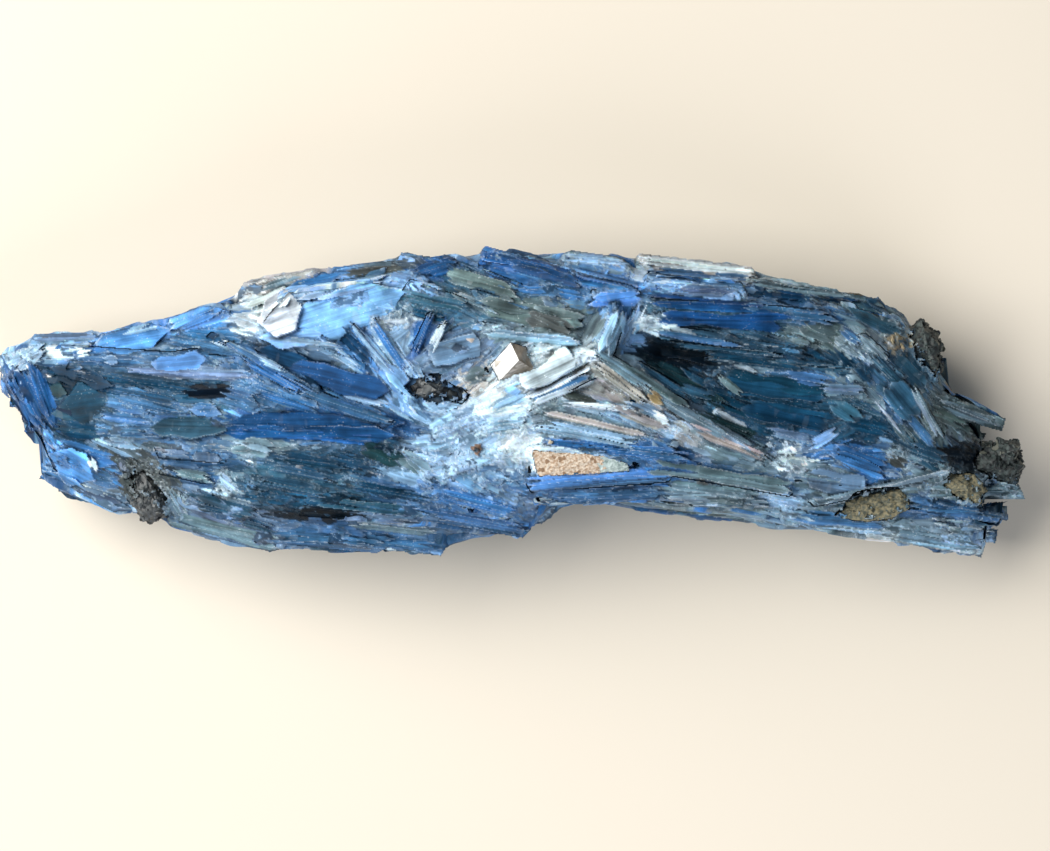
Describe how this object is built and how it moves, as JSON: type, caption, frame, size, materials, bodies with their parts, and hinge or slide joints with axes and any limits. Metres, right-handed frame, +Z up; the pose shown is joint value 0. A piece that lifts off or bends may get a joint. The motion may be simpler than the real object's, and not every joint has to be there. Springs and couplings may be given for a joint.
{
  "type": "kyanite blade cluster",
  "caption": "Long hand specimen of intergrown flat blue kyanite blades, lying flat, with pockets of mica, quartz, stained feldspar, ochre matrix and dark schist rind.",
  "frame": {"origin": "centre of the specimen's box at the flat face that it lies on", "axes": "+X along the specimen from its rounded first end to its splintered end, +Y towards its straight far side, +Z up"},
  "size_m": [0.1542, 0.0467, 0.0336],
  "materials": {
    "kyanite": "gloss",
    "biotite_mica": "satin",
    "milky_quartz": "gloss",
    "iron_stained_feldspar": "satin",
    "ochre_matrix": "matte",
    "mica_schist": "matte"
  },
  "bodies": {
    "root": {"kyanite_blades": "kyanite", "mica_pocket_centre": "biotite_mica", "mica_pocket_near": "biotite_mica", "quartz_chip": "milky_quartz", "stained_wedge": "iron_stained_feldspar", "ochre_pocket": "ochre_matrix", "ochre_patch": "ochre_matrix", "schist_rind_far": "mica_schist", "schist_rind_end": "mica_schist"}
  },
  "joints": []
}
